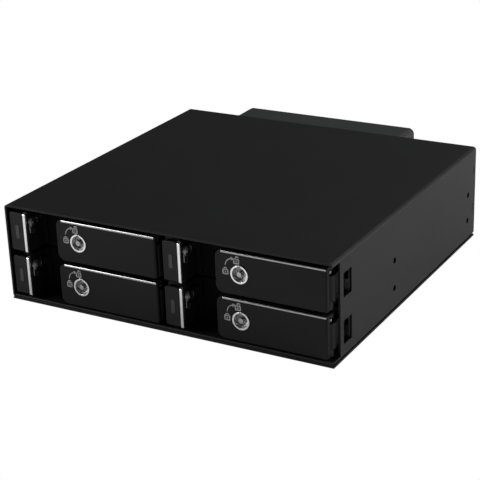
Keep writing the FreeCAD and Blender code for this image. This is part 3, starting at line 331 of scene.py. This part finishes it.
# Put shapes of (points in mm, faces) together in one piece, with its normals outwards
def makePiece(name, shapes, paint, body, replaced=(), smoothAngle=35.0):
    points, faces, start = [], [], 0
    for shapePoints, shapeFaces in shapes:
        points.append(shapePoints)
        faces += [[start + n for n in face] for face in shapeFaces]
        start += len(shapePoints)
    mesh = bpy.data.meshes.new(name)
    mesh.from_pydata((np.concatenate(points) * mm).tolist(), [], faces)
    shell = bmesh.new()
    shell.from_mesh(mesh)
    bmesh.ops.remove_doubles(shell, verts=shell.verts, dist=1e-7)
    bmesh.ops.recalc_face_normals(shell, faces=shell.faces)
    shell.to_mesh(mesh)
    shell.free()
    mesh.shade_smooth()
    mesh.set_sharp_from_angle(angle=math.radians(smoothAngle))
    mesh.materials.append(paint)
    piece = bpy.data.objects.new(name, mesh)
    bpy.context.scene.collection.objects.link(piece)
    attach(piece, body)
    if replaced:
        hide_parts(*replaced)
    return piece


# Box shapes: each centre and half size makes one closed box of eight points
def boxes(centres, halves):
    corners = np.array([[x, y, z] for z in (-1, 1) for x, y in ((-1, -1), (1, -1), (1, 1), (-1, 1))], float)
    points = np.asarray(centres, float)[:, None, :] + corners[None] * np.asarray(halves, float)
    faces = [(0, 3, 2, 1), (4, 5, 6, 7), (0, 1, 5, 4), (1, 2, 6, 5), (2, 3, 7, 6), (3, 0, 4, 7)]
    return [(box, [list(face) for face in faces]) for box in points]


# Round wire: a circle carried along a path, its spokes square to the path and to the coil's axis
def wireAlong(path, axis, radius, sides=10):
    path = np.asarray(path, float)
    tangent = np.gradient(path, axis=0)
    tangent /= np.linalg.norm(tangent, axis=1)[:, None]
    spoke = np.cross(tangent, axis)
    spoke /= np.linalg.norm(spoke, axis=1)[:, None]
    other = np.cross(spoke, tangent)
    turn = np.linspace(0, 2 * math.pi, sides, endpoint=False)[None, :, None]
    return pipe(path[:, None] + radius * (np.cos(turn) * spoke[:, None] + np.sin(turn) * other[:, None]))


# Flat band: a low rectangle carried along a path on the front face, as wide as width says at each point
def bandAlong(path, width, front, back, closed=False):
    path = np.asarray(path, float)
    ahead = np.roll(path, -1, axis=0) - np.roll(path, 1, axis=0)
    if not closed:
        ahead[0], ahead[-1] = path[1] - path[0], path[-1] - path[-2]
    ahead /= np.linalg.norm(ahead, axis=1)[:, None]
    beside = np.stack([-ahead[:, 1], ahead[:, 0]], 1) * np.broadcast_to(np.asarray(width) / 2, len(path))[:, None]
    left, right = path + beside, path - beside
    ring = np.stack([np.insert(left, 1, front, 1), np.insert(right, 1, front, 1),
                     np.insert(right, 1, back, 1), np.insert(left, 1, back, 1)], 1)
    if closed:
        return ring.reshape(-1, 3), gridFaces(len(path), 4, closeRows=True, closeColumns=True)
    return pipe(ring)


def arc(centre, radius, start, stop, count):  # points round a centre; degrees, 0 to the right, 90 up
    turn = np.radians(np.linspace(start, stop, count))
    return np.stack([centre[0] + radius * np.cos(turn), centre[1] + radius * np.sin(turn)], 1)


trayPlace = {tray: np.array([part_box(f"{tray}_front_bezel")[0].x / mm, caseFront,
                             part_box(f"{tray}_front_bezel")[0].z / mm]) for tray in trays}

# Springs: each tray has one wound in two layers on the latch pin, and a small one on the lever's pin.
# A start is a place across or up the tray; legs are the lengths of the straight ends
springSizes = {"latchStart": 8.75, "latchOuter": 2.34, "latchInner": 1.84, "latchTurns": 2.25, "latchPitch": 0.48,
               "outerLegs": (0.2, 3.2), "innerLegs": (4.6, 0.2), "latchWire": 0.23, "hingeStart": 13.95,
               "hingeCoil": 1.36, "hingeTurns": 2.25, "hingePitch": 0.48, "hingeLegs": (0.5, 3.2), "hingeWire": 0.22,
               "latchAngle": 180, "hingeAngle": 90, "stepsInTurn": 20}

# Riveted head on the latch pin: a profile of (radius, place across the tray), turned about the pin
rivetProfile = [(0.05, 10.0), (1.3, 10.0), (1.42, 10.08), (1.36, 10.24), (1.0, 10.36), (0.5, 10.42), (0.05, 10.43)]
rivetSides = 40


# Helix of radius r round an axis, rising one pitch each turn, with a straight leg off each end
def coilPath(radius, turns, pitch, start, firstLeg, lastLeg):
    turn = np.linspace(0, turns * 2 * math.pi, int(turns * springSizes["stepsInTurn"]) + 1) + math.radians(start)
    coil = np.stack([radius * np.cos(turn), radius * np.sin(turn), pitch * (turn - turn[0]) / (2 * math.pi)], 1)
    begin = np.array([math.sin(turn[0]), -math.cos(turn[0]), 0]) * np.linspace(firstLeg, 0, 6)[:-1, None] + coil[0]
    end = np.array([-math.sin(turn[-1]), math.cos(turn[-1]), 0]) * np.linspace(0, lastLeg, 6)[1:, None] + coil[-1]
    return np.concatenate([begin, coil, end])


def makeSprings(tray):
    s, place = springSizes, trayPlace[tray]
    latchPin, hingePin = jointPlaces[f"{tray}_button_press"], jointPlaces[f"{tray}_lever_swing"]
    layers = []
    for radius, legs in ((s["latchOuter"], s["outerLegs"]), (s["latchInner"], s["innerLegs"])):
        coil = coilPath(radius, s["latchTurns"], s["latchPitch"], s["latchAngle"], *legs)
        layers.append(np.stack([place[0] + s["latchStart"] + s["latchWire"] + coil[:, 2], latchPin[1] + coil[:, 0],
                                latchPin[2] - coil[:, 1]], 1))
    coil = coilPath(s["hingeCoil"], s["hingeTurns"], s["hingePitch"], s["hingeAngle"], *s["hingeLegs"])
    hinge = coil + (hingePin[0], hingePin[1], place[2] + s["hingeStart"])
    makePiece(f"{tray}_coils", [wireAlong(layer, (1, 0, 0), s["latchWire"]) for layer in layers]
              + [wireAlong(hinge, (0, 0, 1), s["hingeWire"])],
              paints["spring_steel"], f"{tray}_tray", [f"{tray}_springs"], 60)
    radius, across = np.array(rivetProfile).T[:, :, None]
    turn = np.linspace(0, 2 * math.pi, rivetSides, endpoint=False)
    ring = np.stack(np.broadcast_arrays(across + place[0], latchPin[1] + radius * np.cos(turn),
                                        latchPin[2] + radius * np.sin(turn)), -1)
    makePiece(f"{tray}_rivet_head", [pipe(ring)], paints["pin_steel"], f"{tray}_tray")


# Marks beside each lock: a shut and an open padlock joined by a curved arrow, printed on the lever.
# Places are from the lock's axis; lift and shift are shares of the shackle's radius, shut and open
markSizes = {"front": 0.46, "back": 0.52, "line": 0.5, "shut": (-5.95, 0.2), "open": (-1.2, 5.05),
             "padlock": (1.02, 0.84), "shackle": 0.6, "lift": (0.35, 0.8), "shift": (0.0, 0.55), "bow": 0.9,
             "keyhole": (-0.35, 0.3, 0.5), "arrowMiddle": (-2.7, 2.7), "arrowRadius": 3.2, "arrow": (178, 100),
             "shaft": 0.75, "head": (-24, 4), "barbs": (0.1, 1.4)}


def lockPlace(tray):  # the lock's axis, at the front plane of the case
    place = jointPlaces[f"{tray}_lock_turn"]
    return np.array([place[0], caseFront, place[2]])


# Padlock: a square ring, a half circle with its legs over it, and a short line for the keyhole
def padlock(centre, opened):
    m = markSizes
    half, tall = m["padlock"]
    keyLow, keyHigh, keyWide = m["keyhole"]
    x, z = centre
    outline = np.array([(x - half, z - tall), (x + half, z - tall), (x + half, z + tall), (x - half, z + tall)])
    sides = np.concatenate([np.linspace(outline[n], outline[(n + 1) % 4], 5)[:-1] for n in range(4)])
    radius, top = m["shackle"], z + tall
    lift, shift = radius * m["lift"][opened], radius * m["shift"][opened]
    bow = arc((x + shift, top + lift), radius, 180, 0, 9)
    legs = [[(x + shift - radius, top)], bow, [(x + shift + radius, top + (lift if opened else 0))]]
    return [bandAlong(sides, m["line"], m["front"], m["back"], closed=True),
            bandAlong(np.concatenate(legs), m["line"] * m["bow"], m["front"], m["back"]),
            bandAlong([(x, z + keyLow), (x, z + keyHigh)], keyWide, m["front"], m["back"])]


def makeMarks(tray):
    m = markSizes
    first, last = m["arrow"]
    curve = arc(m["arrowMiddle"], m["arrowRadius"], first, last, 15)
    shapes = padlock(m["shut"], False) + padlock(m["open"], True)
    shapes.append(bandAlong(curve, m["line"] * m["shaft"], m["front"], m["back"]))
    head = arc(m["arrowMiddle"], m["arrowRadius"], last + m["head"][0], last + m["head"][1], 5)
    shapes.append(bandAlong(head, np.linspace(*m["barbs"], 5), m["front"], m["back"]))
    makePiece(f"{tray}_lock_marks", [(points + lockPlace(tray), faces) for points, faces in shapes],
              paints["print_grey"], f"{tray}_lever")


# Driver pins: seven small round-ended pins in the key well of each tubular lock, and a crown on its post
lockSizes = {"count": 7, "ring": 2.0, "radius": 0.34, "front": 1.9, "back": 2.42, "dome": 0.6, "sides": 12,
             "firstPin": 64, "post": 1.02, "postFront": 0.12, "crown": 0.2}


# Dome: a quarter ellipse of (radius, depth) and a straight side, turned about its axis; one for each pin
def makeDriverPins(tray):
    s = lockSizes
    bend = np.linspace(0, math.pi / 2, 5)
    radius = np.append(s["radius"] * np.sin(bend + 1e-3), s["radius"])[:, None]
    depth = np.append(s["front"] + s["radius"] * s["dome"] * (1 - np.cos(bend)), s["back"])[:, None]
    turn = np.linspace(0, 2 * math.pi, s["sides"], endpoint=False)
    ring = np.stack(np.broadcast_arrays(radius * np.cos(turn), depth, radius * np.sin(turn)), -1)
    move = lockPlace(tray)
    crown = ring * (s["post"] / s["radius"], 0, s["post"] / s["radius"])
    crown[..., 1] = s["postFront"] + s["crown"] * (ring[..., 1] - s["front"])
    shapes = [pipe(crown + move)]
    for angle in np.linspace(0, 2 * math.pi, s["count"], endpoint=False) + math.radians(s["firstPin"]):
        centre = np.array([s["ring"] * math.cos(angle), 0, s["ring"] * math.sin(angle)])
        shapes.append(pipe(ring + centre + move))
    makePiece(f"{tray}_driver_pins", shapes, paints["pin_steel"], f"{tray}_lock", smoothAngle=60)


# Screw: a profile of (radius, depth) turned about the screw's axis; the head's face sinks in a cross.
# Cross sizes are shares of the head, except the counts of sides and rings and the slopes of its walls
crossSizes = {"reach": 0.62, "arm": 0.16, "deep": 0.55, "sides": 48, "rings": 14, "armSlope": 1.6, "endSlope": 3,
              "hub": 0.02, "rimChamfer": 0.3, "point": (0.3, 0.7)}


def screwShape(centre, axis, head, headDeep, shaft, length, crown):
    c = crossSizes
    turn = np.linspace(0, 2 * math.pi, c["sides"], endpoint=False)
    share = np.linspace(c["hub"], 1, c["rings"])
    radius = head * share[:, None] * np.ones_like(turn)
    x, y = radius * np.cos(turn), radius * np.sin(turn)
    thin = np.minimum(np.abs(x), np.abs(y)) / (c["arm"] * head)
    far = np.hypot(x, y) / (c["reach"] * head)
    sink = np.clip(c["armSlope"] - thin, 0, 1) * np.clip((1 - far) * c["endSlope"], 0, 1)
    depth = -crown * (1 - share[:, None] ** 2) + c["deep"] * headDeep * sink
    taper, tip = c["point"]
    rim = np.array([(head, headDeep * c["rimChamfer"]), (head, headDeep), (shaft, headDeep),
                    (shaft, length - shaft * taper), (shaft * tip, length)])
    radius = np.concatenate([radius, rim[:, :1] * np.ones_like(turn)])
    depth = np.concatenate([depth, rim[:, 1:] * np.ones_like(turn)])
    along = np.array(axis, float)
    side = np.cross(along, (1, 0, 0) if abs(along[0]) < 0.5 else (0, 1, 0))
    other = np.cross(along, side)
    return pipe(np.asarray(centre, float) + depth[..., None] * along + (radius * np.cos(turn))[..., None] * side
                + (radius * np.sin(turn))[..., None] * other)


# Depths are from the case's front; each head is (radius, depth, shaft's radius, length)
screwSizes = {"underAcross": 67.2, "underFirst": 22.0, "underPitch": 48.0, "underHead": (2.0, 0.4, 1.25, 2.4),
              "underSink": 0.02, "boardAcross": 50.2, "boardRise": 14.4, "boardHead": (2.0, 1.3, 1.25, 3.2),
              "boardCrown": 0.25, "panelRear": 142.4, "fanPitch": 32.0, "fanHead": (2.45, 0.55, 1.4, 14.9),
              "fanSink": 0.04, "rear": 156.0, "middle": 20.65}


def makeScrews():
    s = screwSizes
    boardRear, fanRear = s["panelRear"] + s["boardHead"][1], s["rear"] - s["fanSink"]
    fanMiddles = [jointPlaces[f"fan_{side}_spin"][0] for side in ("left", "right")]
    under = [(side * s["underAcross"], caseFront + s["underFirst"] + step * s["underPitch"], s["underSink"])
             for side in (-1, 1) for step in range(3)]
    board = [(side * s["boardAcross"], caseFront + boardRear, s["middle"] + rise * s["boardRise"])
             for side in (-1, 1) for rise in (-1, 1)]
    fans = [(across + row * s["fanPitch"] / 2, caseFront + fanRear, s["middle"] + rise * s["fanPitch"] / 2)
            for across in fanMiddles for row in (-1, 1) for rise in (-1, 1)]
    shapes = [screwShape(centre, (0, 0, 1), *s["underHead"], 0.0) for centre in under]
    shapes += [screwShape(centre, (0, -1, 0), *s["boardHead"], s["boardCrown"]) for centre in board]
    makePiece("closing_screws", shapes, paints["zinc_screw"], "cage", ["case_screws"])
    makePiece("fan_screw_set", [screwShape(centre, (0, -1, 0), *s["fanHead"], 0.0) for centre in fans],
              paints["dark_screw"], "cage", ["fan_screws"])


# Contacts: gold strips on the blades of the data and power ports
contactSizes = {"pitch": 1.27, "strip": (0.04, 3.2, 0.36), "bladeFace": -0.82, "centre": 131.8, "portAcross": 61.6,
                "column": 4.6, "row": 8.0, "middle": 20.65, "data": 7, "power": 15}


def makeContacts():
    s = contactSizes
    ports = [(-s["portAcross"] + c, s["middle"] + r, s["data"]) for c in (-s["column"], s["column"])
             for r in (-s["row"], s["row"])]
    ports += [(s["portAcross"] + c, s["middle"], s["power"]) for c in (-s["column"], s["column"])]
    centres = [(across + s["bladeFace"], caseFront + s["centre"], up + (n - (count - 1) / 2) * s["pitch"])
               for across, up, count in ports for n in range(count)]
    makePiece("port_contacts", boxes(centres, s["strip"]), goldPaint, "cage")


# A copy of a CAD node with its doubles merged and its sharp edges really rounded; angles in degrees
softSizes = {"lever": 0.16, "release_latch": 0.14, "steps": 2, "flat": 0.5, "crease": 35, "edge": 40}


def soften(tray, part, slot, body):
    s, node = softSizes, nodes[f"{tray}_{part}"]
    shell = bmesh.new()
    shell.from_mesh(node.data)
    bmesh.ops.remove_doubles(shell, verts=shell.verts, dist=1e-6)
    bmesh.ops.dissolve_limit(shell, angle_limit=math.radians(s["flat"]), verts=shell.verts, edges=shell.edges)
    mesh = bpy.data.meshes.new(f"{tray}_{part}_moulding")
    shell.to_mesh(mesh)
    shell.free()
    mesh.shade_smooth()
    mesh.set_sharp_from_angle(angle=math.radians(s["crease"]))
    mesh.materials.append(paints[slot])
    piece = bpy.data.objects.new(mesh.name, mesh)
    bpy.context.scene.collection.objects.link(piece)
    bevel = piece.modifiers.new("edges", "BEVEL")
    bevel.width, bevel.segments, bevel.limit_method = s[part] * mm, s["steps"], "ANGLE"
    bevel.angle_limit, bevel.use_clamp_overlap = math.radians(s["edge"]), False
    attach(piece, body)
    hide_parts(node.name)
    return piece


for tray in trays:
    makeSprings(tray)
    makeMarks(tray)
    makeDriverPins(tray)
    soften(tray, "lever", "lever_black", f"{tray}_lever")
    soften(tray, "release_latch", "button_black", f"{tray}_latch")
makeScrews()
makeContacts()

# Stage: a white floor just under the case, which the camera sees as clean ground; reach and below in metres
stageLook = {"ground": 1.0, "reflected": 1.0, "ambient": 0.085, "reach": 3.0, "below": 0.00005}


def makeFloor():
    reach, below = stageLook["reach"], stageLook["below"]
    corners = [(x * reach, y * reach, -below) for x, y in ((-1, -1), (1, -1), (1, 1), (-1, 1))]
    mesh = bpy.data.meshes.new("floor")
    mesh.from_pydata(corners, [], [(0, 1, 2, 3)])
    paint = Paint("floorPaper", Roughness=0.9, Specular_IOR_Level=0.0)
    paint.set(Base_Color=grey(stageLook["reflected"]))
    glow = paint.add("ShaderNodeEmission", {}, {"Color": grey(stageLook["ground"]), "Strength": 1.0})
    seen = paint.add("ShaderNodeLightPath", output="Is Camera Ray")
    both = paint.add("ShaderNodeMixShader", {}, {0: seen, 1: Wire(paint, paint.shader.outputs[0]), 2: glow})
    paint.tree.links.new(both.socket, paint.tree.nodes["Material Output"].inputs["Surface"])
    mesh.materials.append(paint.material)
    floor = bpy.data.objects.new("floor", mesh)
    bpy.context.scene.collection.objects.link(floor)


def makeWorld():
    world = bpy.data.worlds.new("studio")
    bpy.context.scene.world = world
    world.use_nodes = True
    tree = world.node_tree
    background = tree.nodes["Background"]
    seen = tree.nodes.new("ShaderNodeLightPath")
    shade = tree.nodes.new("ShaderNodeMix")
    shade.data_type = "RGBA"
    tree.links.new(seen.outputs["Is Camera Ray"], shade.inputs[0])
    shade.inputs[6].default_value = grey(stageLook["ambient"])
    shade.inputs[7].default_value = grey(stageLook["ground"])
    tree.links.new(shade.outputs[2], background.inputs["Color"])


lights = {  # place and aim in metres, size in metres, power in watts
    "keyLeft": {"place": (-0.69, -0.62, 0.5), "aim": (0, -0.05, 0.02), "size": 0.5, "power": 5.6},
    "sideRight": {"place": (1.3, 0.75, 0.5), "aim": (0.05, 0.0, 0.02), "size": 0.9, "power": 14.5},
    "topSoft": {"place": (0.35, 0.8, 1.35), "aim": (0, 0, 0), "size": 1.2, "power": 9},
}


def makeLights():
    for name, look in lights.items():
        lamp = bpy.data.lights.new(name, "AREA")
        lamp.shape, lamp.size, lamp.energy = "SQUARE", look["size"], look["power"]
        item = bpy.data.objects.new(name, lamp)
        item.location = look["place"]
        item.rotation_euler = (Vector(look["aim"]) - Vector(look["place"])).to_track_quat("-Z", "Y").to_euler()
        bpy.context.scene.collection.objects.link(item)


# Camera: place and aim in metres, lean in degrees, lens and sensor in millimetres
cameraPlace = {"from": (0.27256, -0.48530, 0.23628), "to": (-0.00244, -0.01244, 0.01348), "lean": 2.136,
               "lens": 104.961, "sensor": 36.0}


def makeCamera():
    c = cameraPlace
    camera = bpy.data.cameras.new("camera")
    camera.lens, camera.sensor_width, camera.sensor_fit = c["lens"], c["sensor"], "AUTO"
    camera.clip_start, camera.clip_end = 0.01, 20
    item = bpy.data.objects.new("camera", camera)
    ahead = (Vector(c["to"]) - Vector(c["from"])).normalized()
    level = ahead.cross(Vector((0, 0, 1))).normalized()
    lean = math.radians(c["lean"])
    up = math.cos(lean) * level.cross(ahead) + math.sin(lean) * level
    right = ahead.cross(up)
    turned = Matrix((right, up, -ahead)).transposed().to_4x4()
    item.matrix_world = Matrix.Translation(c["from"]) @ turned
    bpy.context.scene.collection.objects.link(item)
    bpy.context.scene.camera = item


makeFloor()
makeWorld()
makeLights()
makeCamera()
bpy.context.scene.view_settings.view_transform = "Standard"
print("stage, lights and camera made")
